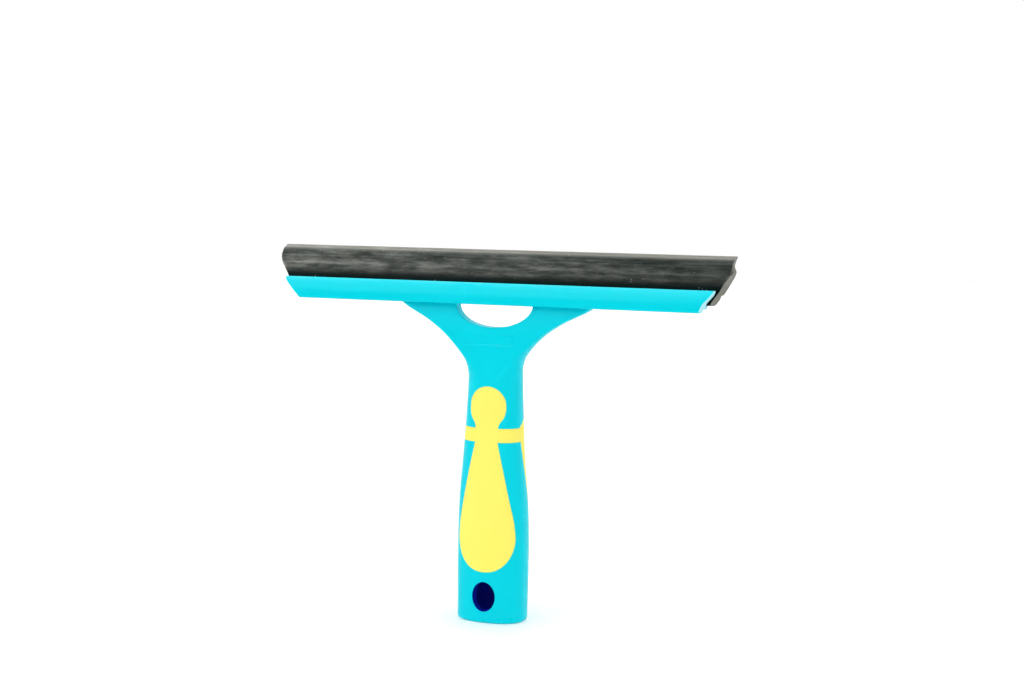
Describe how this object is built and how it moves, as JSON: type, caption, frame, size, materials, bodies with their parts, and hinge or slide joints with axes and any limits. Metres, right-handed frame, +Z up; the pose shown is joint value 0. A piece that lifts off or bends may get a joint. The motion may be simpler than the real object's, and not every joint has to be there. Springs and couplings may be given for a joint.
{
  "type": "window squeegee",
  "caption": "Hand-held window squeegee: a wide rubber blade in a slim channel, on a waisted handle with a soft grip inlay, a half-moon gap, a hanging hole and a pole socket.",
  "frame": {"origin": "on the floor, under the middle of the handle it stands on", "axes": "+Z up the handle to the blade's lip, +X along the blade, -Y out of the front"},
  "size_m": [0.255, 0.0276, 0.1953],
  "materials": {
    "turquoise_plastic": "smooth, lightly glossy moulding",
    "yellow_grip": "soft, satin overmoulding",
    "black_rubber": "satin rubber with light handling marks"
  },
  "bodies": {
    "holder": {"handle": "turquoise_plastic", "soft_grip": "yellow_grip", "blade_channel": "turquoise_plastic"},
    "blade": {"rubber_blade": "black_rubber"}
  },
  "joints": [
    {"name": "blade_slide", "type": "slide", "parent": "holder", "child": "blade", "axis": [1, 0, 0], "range_m": [0, 0.25]}
  ]
}
